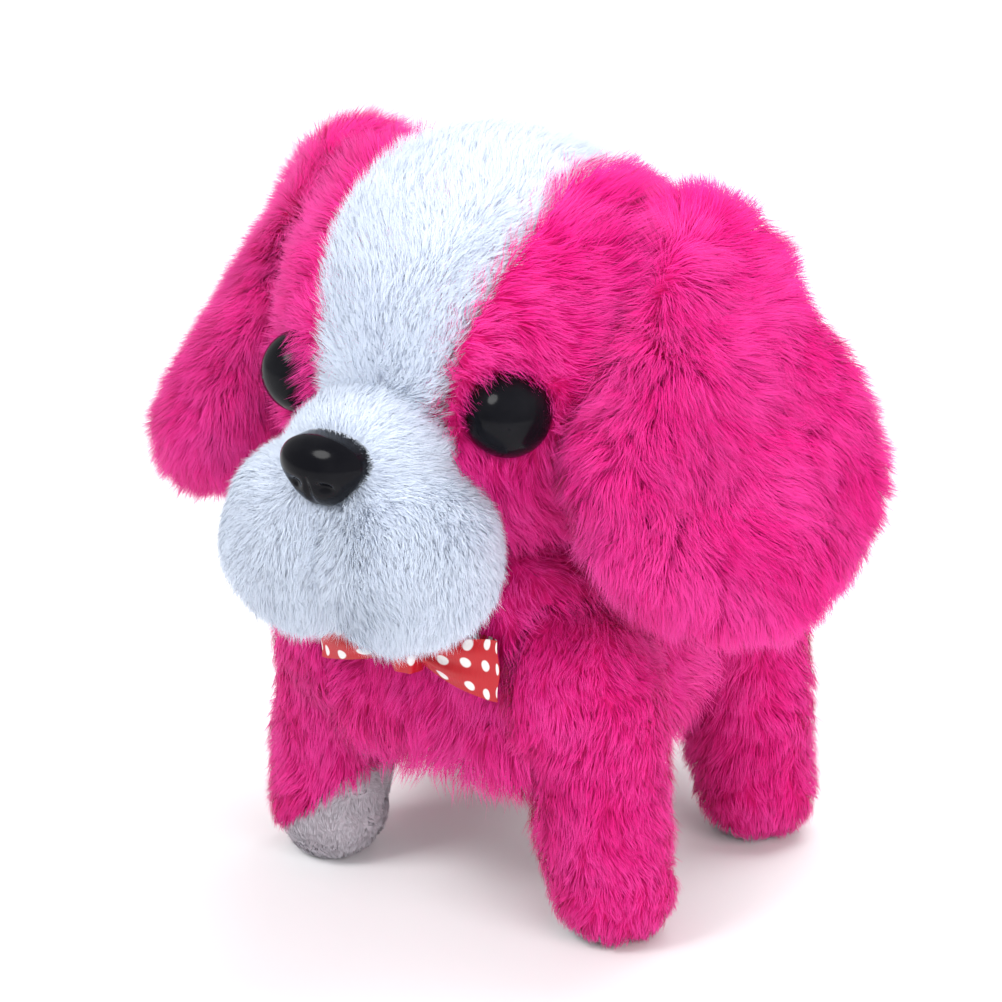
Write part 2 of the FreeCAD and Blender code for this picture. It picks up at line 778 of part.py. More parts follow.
def leg_form(name, side, hip):
    """The soft leg's outer form: round shoulder about the hip, column and flat-soled paw."""
    shoulder = ball(f"shoulder_{name}", (f"{side} * shoulder_centre", hip, "hip_height"),
                    "shoulder_radius")
    paw = ball(f"paw_{name}", (f"{side} * paw_side", hip, "paw_rise"), "paw_radius")
    room = block(f"leg_room_{name}", sided(side, "core_inner", "60"), (f"{hip} - 30", f"{hip} + 30"),
                 ("0", "90"))
    return common(f"leg_form_{name}", fuse(f"leg_blank_{name}", shoulder, column(name, side, hip), paw),
                  room)


def panel_space(name, side, hip):
    """Everything under the seam of a paw's short-pile panel, twisted inward on one leg."""
    twisted = name == TWISTED_LEG
    height = size("panel_height") if twisted else size("sole_height")
    slope = size("panel_slope") if twisted else size("sole_slope")
    made = doc.addObject("Part::Box", f"panel_space_{name}")
    made.Length, made.Width, made.Height = 80, 60, 60
    seam = Vector(side * size("panel_side"), 0, height)
    turn = FreeCAD.Placement(seam, FreeCAD.Rotation(Vector(0, 1, 0), side * slope))
    made.Placement = turn.multiply(FreeCAD.Placement(Vector(-40, 0, -60), FreeCAD.Rotation()))
    made.setExpression("Placement.Base.y", formula(f"{hip} - 30"))
    return made


def make_leg(name, side, hip):
    """One leg: its moulded core, the long-pile sleeve and the short-pile paw panel."""
    core = node(leg_core(name, side, hip), f"leg_core_{name}")
    head_room = outward(side, f"axle_room_{name}", "core_inner", "core_inner + core_thick + 2", hip,
                        "hip_height", "axle_head + 0.6")
    form = cut(f"leg_soft_{name}", leg_form(name, side, hip), copy_of(f"core_copy_{name}", core),
               head_room)
    space = panel_space(name, side, hip)
    node(cut(f"sleeve_{name}", copy_of(f"leg_copy_{name}", form), copy_of(f"space_copy_{name}", space)),
         f"leg_sleeve_{name}")
    node(common(f"panel_{name}", form, space), f"paw_panel_{name}")


def make_link(word, side):
    """The side link: an eye on each leg's pin, and a slotted plate around the crank pin."""
    x = sided(side, "link_inner", "link_inner + link_thick")
    height = "hip_height + lever_rise"
    bar = block(f"link_beam_{word}", x, ("-hip_front", "hip_rear"),
                (f"{height} - link_bar", f"{height} + link_bar"))
    plate = block(f"link_middle_{word}", x,
                  ("-crank_place - link_plate", "-crank_place + link_plate"),
                  (f"{height} - link_plate_rise", f"{height} + link_plate_rise"))
    slot = block(f"link_slot_{word}", sided(side, "link_inner - 1", "link_inner + 3"),
                 ("-crank_place - crank_pin - slot_gap", "-crank_place + crank_pin + slot_gap"),
                 (f"{height} - slot_rise", f"{height} + slot_rise"))
    solids = [bar, plate]
    tools = [slot]
    for end, hip in HIPS:
        solids.append(outward(side, f"link_end_{end}_{word}", "link_inner", "link_inner + link_thick",
                              hip, height, "link_eye"))
        tools.append(outward(side, f"link_hole_{end}_{word}", "link_inner - 1", "link_inner + 3",
                             hip, height, "pin_radius + run_gap"))
    node(cut(f"link_{word}_cut", fuse(f"link_{word}_blank", *solids), *tools), f"side_link_{word}")


# ---------------------------------------------------------------- trunk coat and bow


def leg_bay(name, side, hip):
    """The room that a leg's shoulder, column and paw sweep through."""
    shoulder = common(
        f"bay_shoulder_{name}",
        ball(f"bay_ball_{name}", (f"{side} * shoulder_centre", hip, "hip_height"),
             "shoulder_radius + bay_gap"),
        block(f"bay_side_{name}", sided(side, "bay_inner", "60"), (f"{hip} - 30", f"{hip} + 30"),
              ("0", "90")))
    axle = rod(f"bay_axle_{name}", "x", ("-30", hip, "hip_height"), "axle_radius + fit_gap", "60")
    body = new_body(f"bay_{name}")
    fan = new_sketch(body, f"bay_fan_{name}", "YZ_Plane", "bay_inner" if side > 0 else "-60")
    outline(fan, [(f"{hip} - 27", "-2"), (f"{hip} + 27", "-2"),
                  (f"{hip} + 14.5", "hip_height"), (f"{hip} - 14.5", "hip_height")])
    pad(body, f"bay_pad_{name}", fan, "60 - bay_inner")
    return [shoulder, axle, body]


def make_coat():
    """The trunk's coat, hollowed for the housing, with room for legs, links, neck and tail."""
    loaf = rounded_block("coat_loaf", ("-coat_half", "coat_half"), ("-coat_front", "coat_rear"),
                         ("coat_low", "coat_top"), "coat_round")
    tools = [
        housing("coat_room", "-fit_gap"),
        block("belly_gap", ("-door_half - 1.4", "door_half + 1.4"),
              ("-door_front - 1.5", "switch_place + 3.5"), ("coat_low - 1", "case_low + 1")),
        block("coat_neck", ("-neck_room", "neck_room"), ("-neck_place - 11", "-neck_place + 11"),
              ("case_top - 1", "coat_top + 1")),
        block("coat_tail", ("-4", "4"), ("case_rear - 1", "coat_rear + 1"),
              ("tail_height - 5", "coat_top + 1")),
    ]
    for word, side in SIDES:
        tools.append(block(f"link_bay_{word}", sided(side, "case_half - 0.5", "core_inner + 0.3"),
                           ("-hip_front - 8", "hip_rear + 8"),
                           ("hip_height + lever_rise - 8", "hip_height + lever_rise + 8.5")))
    for name, side, hip in LEGS:
        tools.extend(leg_bay(name, side, hip))
    node(cut("coat", loaf, *tools), "body_plush")


def make_bow():
    """Two ribbon loops and a knot at the throat."""
    knot = rounded_block("knot", ("-knot_half", "knot_half"),
                         ("-bow_place - bow_depth - 0.6", "-coat_front"),
                         ("bow_height - knot_rise", "bow_height + knot_rise"), "1.8")
    node(knot, "bow_knot")
    for word, side in SIDES:
        body = new_body(f"wing_{word}")
        fan = new_sketch(body, f"wing_fan_{word}", "XZ_Plane", "bow_place")
        outline(fan, [(f"{side} * (knot_half - 1)", "bow_height - bow_waist"),
                      (f"{side} * bow_half", "bow_height - bow_tip"),
                      (f"{side} * bow_half", "bow_height + bow_tip"),
                      (f"{side} * (knot_half - 1)", "bow_height + bow_waist")])
        pad(body, f"wing_pad_{word}", fan, "bow_depth")
        loop = block(f"wing_gap_{word}", sided(side, "knot_half + 3", "bow_half - ribbon"),
                     ("-bow_place - bow_depth + ribbon", "-bow_place - ribbon"),
                     ("bow_height - 10", "bow_height + 10"))
        node(cut(f"wing_cut_{word}", body, loop, copy_of(f"knot_copy_{word}", knot)), f"bow_loop_{word}")


# ---------------------------------------------------------------- head


def make_neck():
    """Bracket on the housing's roof, with the pin on which the head nods."""
    base = block("neck_base", ("-9", "9"), ("-neck_place - 10", "-neck_place + 8"),
                 ("case_top", "case_top + 1.5"))
    cheeks = []
    for word, side in SIDES:
        cheeks.append(block(f"cheek_{word}", sided(side, "cheek_inner", "cheek_outer"),
                            ("-neck_place - cheek_half", "-neck_place + cheek_half"),
                            ("case_top + 1", "neck_height")))
        cheeks.append(outward(side, f"cheek_top_{word}", "cheek_inner", "cheek_outer", "-neck_place",
                              "neck_height", "cheek_half"))
    slot = block("neck_slot", ("-lever_half - lever_room", "lever_half + lever_room"),
                 ("-neck_place - 8", "-neck_place + 4"), ("case_top - 1", "case_top + 3"))
    hole = rod("neck_hole", "x", ("-20", "-neck_place", "neck_height"), "axle_radius", "40")
    node(cut("neck_solid", fuse("neck_blank", base, *cheeks), slot, hole), "neck_bracket")
    node(rod("neck_axle", "x", ("-neck_pin_half", "-neck_place", "neck_height"), "axle_radius",
             "2 * neck_pin_half"), "neck_pin")


def make_head_lever():
    """The disc that stiffens the skull, with the arm that reaches down to rod and cam."""
    disc = rod("lever_disc", "x", ("-lever_half", "-head_place", "skull_height"), "skull_radius - 1.8",
               "2 * lever_half")
    arm = block("lever_arm", ("-lever_half", "lever_half"), ("-neck_place - 2", "-neck_place + 2"),
                ("hip_height + lever_rise - 3.5", "neck_height + 8"))
    hub = rod("lever_hub", "x", ("-lever_half", "-neck_place", "neck_height"), "cheek_half",
              "2 * lever_half")
    pin = rod("lever_pin", "x", ("0", "-neck_place", "rod_height"), "rod_pin",
              "rod_inner + rod_thick + 0.2")
    holes = [rod("lever_bore", "x", ("-5", "-neck_place", "neck_height"), "axle_radius + run_gap",
                 "10")]
    for index in range(6):
        angle = 60 * index + 30
        holes.append(rod(f"lever_light_{index}", "x",
                         ("-5", f"-head_place + light_place * cos({angle})",
                          f"skull_height + light_place * sin({angle})"), "light_radius", "10"))
    blank = fuse("lever_blank", disc, arm, hub, pin)
    return node(cut("head_lever_solid", blank, *holes), "head_lever")


def make_skull():
    """Two hollow half shells on lugs that turn on the neck pin."""
    for word, side in SIDES:
        outer = ball(f"skull_out_{word}", ("0", "-head_place", "skull_height"), "skull_radius")
        inner = ball(f"skull_in_{word}", ("0", "-head_place", "skull_height"),
                     "skull_radius - skull_wall")
        lug = block(f"lug_{word}", sided(side, "lug_inner", "lug_outer"),
                    ("-neck_place - cheek_half", "-neck_place + cheek_half"),
                    ("neck_height - 3.5", "neck_height + 5"))
        room = block(f"skull_room_{word}", sided(side, "0", "skull_radius + 10"),
                     ("-head_place - 2 * skull_radius", "-head_place + 2 * skull_radius"),
                     ("skull_height - 2 * skull_radius", "skull_height + 2 * skull_radius"))
        cheek_gap = block(f"skull_gap_{word}", sided(side, "-1", "cheek_outer + 0.6"),
                          ("-neck_place - 9", "-neck_place + 9"),
                          ("neck_height - 10", "neck_height + 5.5"))
        hole = outward(side, f"lug_hole_{word}", "4", "12", "-neck_place", "neck_height",
                       "axle_radius + run_gap")
        ring_wall = cut(f"skull_wall_{word}", outer, inner)
        half = common(f"skull_half_{word}", fuse(f"skull_blank_{word}", ring_wall, lug), room)
        node(cut(f"skull_{word}", half, cheek_gap, hole), f"head_shell_{word}")


def nodded(name, source, angle):
    """A copy of a trunk-side shape as the head sees it when it has nodded by angle."""
    made = copy_of(name, source)
    pivot = Vector(0, -size("neck_place"), size("neck_height"))
    turn = FreeCAD.Rotation(Vector(1, 0, 0), angle)
    made.Placement = FreeCAD.Placement(pivot - turn.multVec(pivot), turn)
    return made


def trunk_space(name):
    """The trunk's coat with a clearance all round, for shaping what moves above it."""
    return rounded_block(name, ("-coat_half - 1", "coat_half + 1"), ("-coat_front - 1", "coat_rear + 1"),
                         ("coat_low - 1", "coat_top + 0.8"), "coat_round")


def eye_dome(word, side):
    """A domed eye on a stem that points at the skull's middle."""
    dome = bind(doc.addObject("Part::Sphere", f"dome_{word}"), Radius="eye_radius")
    dome.Angle1 = -20
    stem = bind(doc.addObject("Part::Cylinder", f"eye_stem_{word}"), Radius="stem_radius",
                Height="12")
    stem.Placement.Base = Vector(0, 0, -12)
    made = fuse(f"eye_solid_{word}", dome, stem)
    gaze = Vector(side * size("eye_side"), size("head_place") - size("eye_place"),
                  size("eye_height") - size("head_height"))
    turn = FreeCAD.Rotation(Vector(0, 0, 1), gaze)
    return place(made, (f"{side} * eye_side * 0.975", "-eye_place + 0.8", "eye_height"), turn)


def nose_prism(name):
    """A triangle with cut-off corners, wide at the top, as deep as the nose."""
    body = new_body(name)
    face = new_sketch(body, name + "_face", "XZ_Plane", "nose_front - nose_depth")
    outline(face, [("-nose_half", "nose_height + nose_rise * 0.5"),
                   ("-nose_half * 0.6", "nose_height + nose_rise"),
                   ("nose_half * 0.6", "nose_height + nose_rise"),
                   ("nose_half", "nose_height + nose_rise * 0.5"),
                   ("nose_half * 0.35", "nose_height - nose_drop"),
                   ("-nose_half * 0.35", "nose_height - nose_drop")])
    return body, pad(body, name + "_pad", face, "nose_depth")


def make_nose():
    """The nose button, its corners rounded and its face domed."""
    body, base = nose_prism("nose_button")
    soften(body, "nose_soft", base, runs_along("y"), "nose_round")
    dome = ball("nose_dome", ("0", "-nose_front + 11", "nose_height"), "11")
    node(common("nose_solid", body, dome), "nose")


def make_face():
    """Head coat, white blaze, muzzle, eyes and nose, each cut clear of the next."""
    eyes = [node(eye_dome(word, side), f"eye_{word}") for word, side in SIDES]
    nose_room, _ = nose_prism("nose_room")
    trunk = trunk_space("trunk_space")
    swept = [nodded(f"trunk_at_{step}", trunk, size("nod_limit") * step / 3) for step in range(4)]
    clear_head = [
        ball("skull_room", ("0", "-head_place", "skull_height"), "skull_radius + fit_gap"),
        block("neck_space", ("-neck_room", "neck_room"), ("-neck_place - 14", "-neck_place + 14"),
              ("neck_height - 28", "neck_height + 6")),
    ]
    head = ball("head_ball", ("0", "-head_place", "head_height"), "head_radius")
    coat = cut("head_coat", head, *clear_head, *swept, *[copy_of(eye.Name + "_a", eye) for eye in eyes])
    core = ball("blaze_core", ("0", "-head_place", "head_height"), "head_radius - blaze_depth")
    stripe = new_body("blaze_stripe")
    shape = new_sketch(stripe, "blaze_outline", "XZ_Plane", "head_place - 22")
    outline(shape, [("-9", "head_height - 14"), ("9", "head_height - 14"), ("12", "head_height + 4"),
                    ("17", "head_height + 22"), ("20", "head_height + 45"), ("-20", "head_height + 45"),
                    ("-17", "head_height + 22"), ("-12", "head_height + 4")])
    pad(stripe, "blaze_pad", shape, "70")
    band = cut("blaze_band", stripe, core)
    jowls = [ball(f"jowl_{word}", (f"{side} * jowl_side", "-jowl_place", "jowl_height"), "jowl_radius")
             for word, side in SIDES]
    bridge = ball("bridge", ("0", "-bridge_place", "bridge_height"), "bridge_radius")
    white = fuse("muzzle_blank", *jowls, bridge)
    head_copy = ball("head_space", ("0", "-head_place", "head_height"), "head_radius + fit_gap / 2")
    fronted = cut("muzzle_front", white, nose_room)
    behind = cut("muzzle_face", fronted, head_copy)
    muzzle = cut("muzzle", behind, copy_of("trunk_copy", trunk))
    node(cut("head_coat_pink", coat, copy_of("blaze_copy", band)), "head_plush")
    node(common("blaze", copy_of("coat_copy", coat), band), "face_blaze")
    node(muzzle, "muzzle_plush")


def make_ear(word, side):
    """A puffy lobe that hangs from a seam high on the head and flares outward."""
    body = new_body(f"ear_{word}_body")
    radii = (size("ear_top_radius"), size(f"ear_low_{word}"))
    drop = size(f"ear_drop_{word}")
    lean = math.asin((radii[1] - radii[0]) / drop)
    sides = []
    for sign in (-1, 1):
        for radius, height in ((radii[0], -radii[0]), (radii[1], -radii[0] - drop)):
            sides.append(Vector(sign * radius * math.cos(lean), height + radius * math.sin(lean), 0))
    top, low = Vector(0, 0, 0), Vector(0, -radii[0] - drop - radii[1], 0)
    edge = new_sketch(body, f"ear_{word}_edge", "XY_Plane", "0")
    left_top, left_low, right_top, right_low = sides
    edge.addGeometry(Part.LineSegment(left_low, left_top))
    edge.addGeometry(Part.Arc(left_top, top, right_top))
    edge.addGeometry(Part.LineSegment(right_top, right_low))
    edge.addGeometry(Part.Arc(right_low, low, left_low))
    slab = pad(body, f"ear_{word}_slab", edge, "ear_thick")
    soften(body, f"ear_{word}_puff", slab, lambda edge: True, "ear_edge")
    stand = FreeCAD.Rotation(Vector(1, 0, 0), 90)
    flare = FreeCAD.Rotation(Vector(1, 0, 0), -size(f"ear_flare_{word}"))
    face = FreeCAD.Rotation(Vector(0, 0, 1), side * (90 - size("ear_turn")))
    swing = FreeCAD.Rotation(Vector(0, 0, 1), -side * size(f"ear_swing_{word}"))
    turn = face.multiply(flare).multiply(stand).multiply(swing)
    place(body, (f"{side} * seam_side", "-seam_place", f"seam_height_{word}"), turn)
    head = ball(f"ear_room_{word}", ("0", "-head_place", "head_height"), "head_radius + 1")
    node(cut(f"ear_{word}_solid", body, head), f"ear_{word}")


# ---------------------------------------------------------------- nod rod and tail


def make_nod_rod():
    """The rod that carries the head's nod back to the tail."""
    x = ("rod_inner", "rod_inner + rod_thick")
    bar = block("rod_beam", x, ("-neck_place", "tail_place"),
                ("rod_height - rod_bar", "rod_height + rod_bar"))
    front = rod("rod_front", "x", ("rod_inner", "-neck_place", "rod_height"), "2", "rod_thick")
    rear = block("rod_rear", x, ("tail_place - rod_eye_front", "tail_place + rod_eye_rear"),
                 ("rod_height - rod_eye_low", "rod_height + rod_eye_top"))
    hole = rod("rod_hole", "x", ("0", "-neck_place", "rod_height"), "rod_pin + run_gap", "6")
    slot = block("rod_slot", ("0", "6"), ("tail_place - 1.4", "tail_place + 1.4"),
                 ("rod_height - 1.9", "rod_height + 1.5"))
    node(cut("nod_rod_solid", fuse("rod_blank", bar, front, rear), hole, slot), "nod_rod")


def make_tail():
    """The tail's lever and stem, and the plush tail over the stem."""
    lever = block("tail_lever", ("-lever_half", "lever_half"), ("tail_place - 2", "tail_place + 2"),
                  ("tail_height", "rod_height + 1.5"))
    hub = rod("tail_hub", "x", ("-lever_half", "tail_place", "tail_height"), "2.6", "2 * lever_half")
    axle = rod("tail_axle", "x", ("-5.4", "tail_place", "tail_height"), "axle_radius", "10.8")
    pin = rod("tail_pin", "x", ("0", "tail_place", "rod_height"), "rod_pin",
              "rod_inner + rod_thick + 0.2")
    arm = block("tail_arm", ("-lever_half", "lever_half"), ("tail_place", "tail_root_place - 4"),
                ("tail_height - 1.5", "tail_height + 2.5"))
    run = Vector(0, size("tail_tip_place") - size("tail_root_place") + 4,
                 size("tail_tip_height") - size("tail_height"))
    lean = FreeCAD.Rotation(Vector(0, 0, 1), run)
    stem = bind(doc.addObject("Part::Cylinder", "tail_rod"), Radius="stem_radius",
                Height="tail_stem")
    place(stem, ("0", "tail_root_place - 4", "tail_height"), lean)
    core = node(fuse("tail_core_solid", lever, hub, axle, pin, arm, stem), "tail_core")
    line = Vector(0, size("tail_tip_place") - size("tail_root_place"),
                  size("tail_tip_height") - size("tail_root_height"))
    body = bind(doc.addObject("Part::Cone", "tail_body"), Radius1="tail_root_radius",
                Radius2="tail_tip_radius")
    body.Height = line.Length
    place(body, ("0", "tail_root_place", "tail_root_height"), FreeCAD.Rotation(Vector(0, 0, 1), line))
    root = ball("tail_root", ("0", "tail_root_place", "tail_root_height"), "tail_root_radius")
    tip = ball("tail_tip", ("0", "tail_tip_place", "tail_tip_height"), "tail_tip_radius")
    soft = fuse("tail_blank", body, root, tip)
    node(cut("tail_soft", soft, copy_of("tail_core_copy", core)), "tail_plush")


# ---------------------------------------------------------------- the whole dog

make_housing()
make_tray()
for word, side in SIDES:
    make_cell(word, side)
make_contacts()
make_door()
make_switch()
make_motor()
make_compound_gear("gear_first", 2, "plane_three", "plane_two", -MESH_ANGLE, 180 + MESH_ANGLE)
make_compound_gear("gear_second", 1, "plane_two", "plane_one", MESH_ANGLE, 180 - MESH_ANGLE)
make_crank_gear()
make_gear_frame()
make_crank()
make_electronics()
make_axles()
for name, side, hip in LEGS:
    make_leg(name, side, hip)
for word, side in SIDES:
    make_link(word, side)
make_coat()
make_bow()
make_neck()
make_head_lever()
make_skull()
make_nose()
make_face()
for word, side in SIDES:
    make_ear(word, side)
make_nod_rod()
make_tail()
doc.recompute()


def solid_of(obj):
    """The sub-part's shape as one clean solid."""
    solids = obj.Shape.Solids
    if len(solids) != 1:
        raise RuntimeError(f"{obj.Label} has {len(solids)} solids")
    return solids[0]


faulty = [obj.Label for obj in doc.Objects if {"Invalid", "Error"} & set(obj.State)]
if faulty:
    raise RuntimeError(f"objects failed to build: {faulty}")
os.makedirs("parts", exist_ok=True)
for obj in NODES:
    if obj.Shape.isNull() or not obj.Shape.isValid():
        raise RuntimeError(f"{obj.Label} has no valid shape")
    solid_of(obj).exportStep(f"parts/{obj.Label}.step")
print(len(NODES), "sub-parts written")
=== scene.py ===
"""Plush puppy: soft skins, pile, eyes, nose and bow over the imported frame."""
import json
import math

import bpy
import numpy as np
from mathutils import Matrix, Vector
from mathutils.bvhtree import BVHTree
from mathutils.kdtree import KDTree


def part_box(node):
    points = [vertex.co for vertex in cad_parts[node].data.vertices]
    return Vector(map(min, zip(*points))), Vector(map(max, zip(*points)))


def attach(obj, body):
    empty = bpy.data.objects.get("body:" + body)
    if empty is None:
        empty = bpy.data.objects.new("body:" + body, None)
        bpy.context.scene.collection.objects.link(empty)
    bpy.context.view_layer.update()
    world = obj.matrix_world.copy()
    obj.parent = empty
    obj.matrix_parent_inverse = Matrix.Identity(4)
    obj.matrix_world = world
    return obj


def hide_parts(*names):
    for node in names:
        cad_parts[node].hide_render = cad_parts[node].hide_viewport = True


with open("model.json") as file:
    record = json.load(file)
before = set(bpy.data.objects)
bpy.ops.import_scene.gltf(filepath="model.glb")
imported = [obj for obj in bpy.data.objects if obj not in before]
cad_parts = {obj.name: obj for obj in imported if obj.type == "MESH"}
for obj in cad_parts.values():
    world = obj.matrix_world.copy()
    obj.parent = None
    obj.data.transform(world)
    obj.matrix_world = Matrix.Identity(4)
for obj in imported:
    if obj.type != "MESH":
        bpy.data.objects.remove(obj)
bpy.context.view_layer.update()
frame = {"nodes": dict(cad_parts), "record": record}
MM = 0.001
LEGS = ("front_left", "front_right", "rear_left", "rear_right")
SIDES = (("left", 1), ("right", -1))
STRANDS_PER_MESH = 65000
TINY = 1e-9


def spot(x, y, z):
    """A point given in millimetres."""
    return np.array((x, y, z)) * MM


def middle(node):
    """The centre of a node's box at rest."""
    low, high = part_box(node)
    return (np.array(low) + np.array(high)) / 2


NOSE = middle("nose")


# ---------------------------------------------------------------- materials

PATCHES = 55
MOTTLES = 120
RED = (0.5, 0.004, 0.012)
DOT_SPACING = 5.4 * MM
WEAVE_SPACING = 2.0 * MM


def material(name, colour, roughness, **sockets):
    """A Principled material with constant sockets; returns it with its nodes."""
    made = bpy.data.materials.new(name)
    made.use_nodes = True
    nodes = made.node_tree.nodes
    shader = nodes["Principled BSDF"]
    shader.inputs["Base Color"].default_value = (*colour, 1)
    shader.inputs["Roughness"].default_value = roughness
    for key, value in sockets.items():
        shader.inputs[key.replace("_", " ")].default_value = value
    return made, nodes, made.node_tree.links, shader


def noise_texture(nodes, links, scale, detail=3.0):
    """Noise in the object's own space; scale is in cells per metre."""
    place = nodes.new("ShaderNodeTexCoord")
    texture = nodes.new("ShaderNodeTexNoise")
    texture.inputs["Scale"].default_value = scale
    texture.inputs["Detail"].default_value = detail
    links.new(place.outputs["Object"], texture.inputs["Vector"])
    return texture


def ramp(nodes, links, source, stops):
    """A colour ramp over a source, with its stops given as places and colours."""
    made = nodes.new("ShaderNodeValToRGB")
    elements = made.color_ramp.elements
    while len(elements) < len(stops):
        elements.new(0.5)
    for element, (place, colour) in zip(elements, stops):
        element.position = place
        element.color = (*colour, 1)
    links.new(source, made.inputs["Fac"])
    return made


def plush_material(name, stops, blotch, sheen, tint):
    """Pile coloured from root to tip, darker towards the roots as painted shade within the pile, with
    broad patches a little lighter or darker.
    """
    made, nodes, links, shader = material(
        name, stops[-1][1], 0.7, Specular_IOR_Level=0.25, Sheen_Weight=sheen,
        Sheen_Roughness=0.45, Sheen_Tint=(*tint, 1))
    tone = nodes.new("ShaderNodeAttribute")
    tone.attribute_name = "tone"
    patches = noise_texture(nodes, links, PATCHES)
    blend = nodes.new("ShaderNodeMath")
    blend.operation = "MULTIPLY_ADD"
    links.new(patches.outputs["Fac"], blend.inputs[0])
    blend.inputs[1].default_value = blotch
    links.new(tone.outputs["Fac"], blend.inputs[2])
    shift = nodes.new("ShaderNodeMath")
    shift.operation = "SUBTRACT"
    links.new(blend.outputs[0], shift.inputs[0])
    shift.inputs[1].default_value = blotch / 2
    colours = ramp(nodes, links, shift.outputs[0], stops)
    links.new(colours.outputs["Color"], shader.inputs["Base Color"])
    return made


def add_bump(nodes, links, shader, height, strength, distance):
    """Surface relief from a height, with its distance in millimetres."""
    bump = nodes.new("ShaderNodeBump")
    bump.inputs["Strength"].default_value = strength
    bump.inputs["Distance"].default_value = distance * MM
    links.new(height, bump.inputs["Height"])
    links.new(bump.outputs["Normal"], shader.inputs["Normal"])


def moulded(name, colour, roughness, grain=900, depth=0.06, spread=0.06, **sockets):
    """Moulded plastic or metal: faint colour variation and a fine surface grain."""
    made, nodes, links, shader = material(name, colour, roughness, **sockets)
    texture = noise_texture(nodes, links, MOTTLES)
    light = tuple(min(1.0, c * (1 + spread) + 0.004) for c in colour)
    dark = tuple(c * (1 - spread) for c in colour)
    colours = ramp(nodes, links, texture.outputs["Fac"], [(0.35, dark), (0.65, light)])
    links.new(colours.outputs["Color"], shader.inputs["Base Color"])
    fine = noise_texture(nodes, links, grain, 2.0)
    add_bump(nodes, links, shader, fine.outputs["Fac"], depth, 0.2)
    return made


# Each ramp runs from a darker root colour, which is painted shade deep in the pile, to a lighter tip
# colour.
PINK = plush_material(
    "pink_pile",
    [(0.0, (0.72, 0.003, 0.16)), (0.45, (0.88, 0.01, 0.26)), (1.0, (0.96, 0.06, 0.4))],
    0.3, 0.12, (1.0, 0.6, 0.95))
WHITE = plush_material(
    "white_pile",
    [(0.0, (0.66, 0.72, 0.86)), (0.4, (0.72, 0.79, 0.92)), (1.0, (0.77, 0.85, 0.97))],
    0.2, 0.1, (0.9, 0.95, 1.0))
SHORT = plush_material(
    "short_pile",
    [(0.0, (0.42, 0.38, 0.42)), (0.5, (0.56, 0.52, 0.57)), (1.0, (0.7, 0.67, 0.72))],
    0.3, 0.1, (0.95, 0.95, 1.0))
GLOSS = moulded("black_gloss", (0.004, 0.004, 0.006), 0.14, grain=300, depth=0.02,
                Specular_IOR_Level=0.09)


def ribbon_material():
    """Red satin with small white dots in staggered rows and a fine weave."""
    made, nodes, links, shader = material("dotted_satin", RED, 0.42, Sheen_Weight=0.05,
                                          Sheen_Roughness=0.3)
    layout = nodes.new("ShaderNodeUVMap")
    layout.uv_map = "cloth"
    dots = nodes.new("ShaderNodeTexVoronoi")
    dots.voronoi_dimensions = "2D"
    dots.inputs["Scale"].default_value = 1 / DOT_SPACING
    dots.inputs["Randomness"].default_value = 0.35
    links.new(layout.outputs["UV"], dots.inputs["Vector"])
    colours = ramp(nodes, links, dots.outputs["Distance"],
                   [(0.0, (0.86, 0.84, 0.82)), (0.2, (0.86, 0.82, 0.8)), (0.25, RED)])
    links.new(colours.outputs["Color"], shader.inputs["Base Color"])
    weave = nodes.new("ShaderNodeTexWave")
    weave.inputs["Scale"].default_value = 1 / WEAVE_SPACING
    weave.inputs["Distortion"].default_value = 0.6
    links.new(layout.outputs["UV"], weave.inputs["Vector"])
    add_bump(nodes, links, shader, weave.outputs["Fac"], 0.15, 0.1)
    return made


RIBBON = ribbon_material()
HARD = {
    "housing": moulded("housing_plastic", (0.62, 0.62, 0.6), 0.5),
    "black_plastic": moulded("black_plastic", (0.02, 0.02, 0.022), 0.45),
    "white_plastic": moulded("acetal", (0.82, 0.82, 0.78), 0.35),
    "frame_plastic": moulded("frame_plastic", (0.3, 0.32, 0.35), 0.5),
    "steel": moulded("brushed_steel", (0.56, 0.56, 0.58), 0.32, grain=2500, Metallic=1.0),
    "cell_jacket": moulded("cell_jacket", (0.06, 0.09, 0.14), 0.3, depth=0.02, Metallic=0.3),
    "board": moulded("board_lacquer", (0.02, 0.16, 0.06), 0.35),
    "black_gloss": GLOSS,
}
for part in frame["record"]["subparts"]:
    finish = HARD.get(part["material_slot"])
    if finish is not None:
        for holder in frame["nodes"][part["node"]].material_slots:
            holder.material = finish


# ---------------------------------------------------------------- soft skins

LUMP_LENGTH = 16
MOTTLE_LENGTH = 5
WAVES = 7
WAVES_SCALE = 3.2


def new_object(name, mesh):
    """An object for a mesh, linked to the scene."""
    made = bpy.data.objects.new(name, mesh)
    bpy.context.scene.collection.objects.link(made)
    return made


def apply_modifiers(obj):
    """Works the object's modifiers into its mesh."""
    shape = bpy.data.meshes.new_from_object(obj.evaluated_get(bpy.context.evaluated_depsgraph_get()))
    old = obj.data
    obj.modifiers.clear()
    obj.data = shape
    bpy.data.meshes.remove(old)


